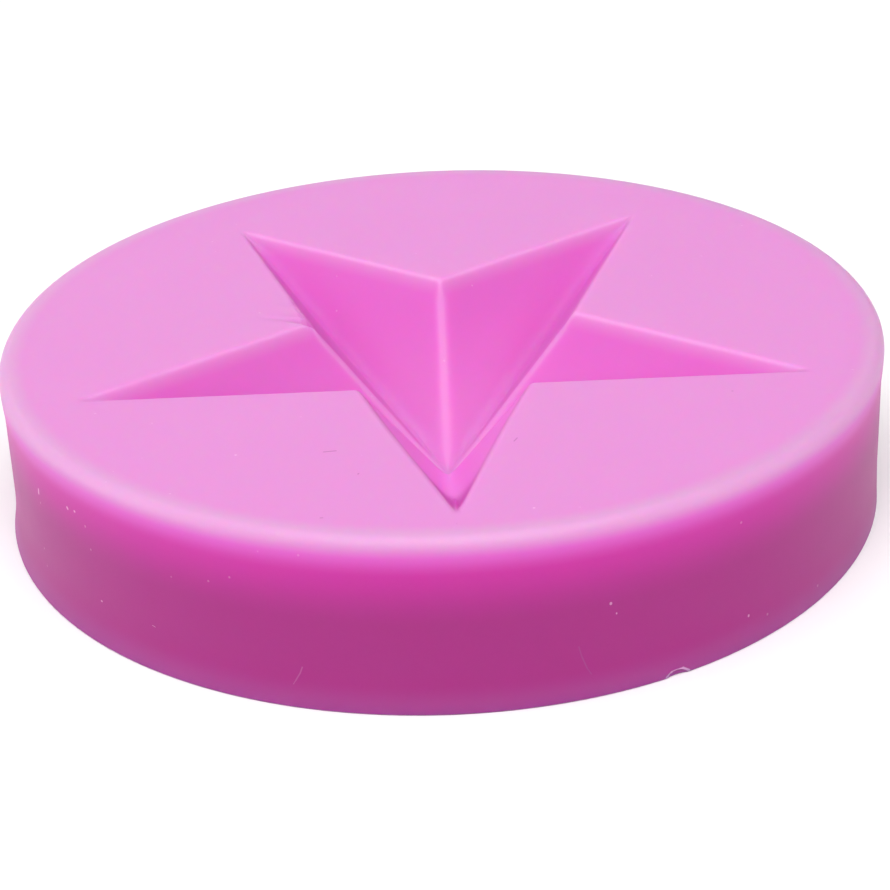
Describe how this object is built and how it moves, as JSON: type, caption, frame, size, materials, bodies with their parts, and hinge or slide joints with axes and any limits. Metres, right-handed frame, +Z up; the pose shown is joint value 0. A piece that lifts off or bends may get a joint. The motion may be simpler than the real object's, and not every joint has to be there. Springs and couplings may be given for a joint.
{
  "type": "resin casting mould",
  "caption": "Round block of pink silicone rubber with a faceted, star-shaped hollow in its upper face, for casting resin, wax, soap or plaster.",
  "frame": {"origin": "centre of the underside, on the bench", "axes": "+Z up, out of the face that the star is sunk into; -Y towards the tip of the front arm"},
  "size_m": [0.0706, 0.0706, 0.014],
  "materials": {
    "pink_silicone": "satin translucent pink silicone rubber, platinum-cured and dyed right through"
  },
  "bodies": {
    "root": {"mould_body": "pink_silicone"}
  },
  "joints": []
}
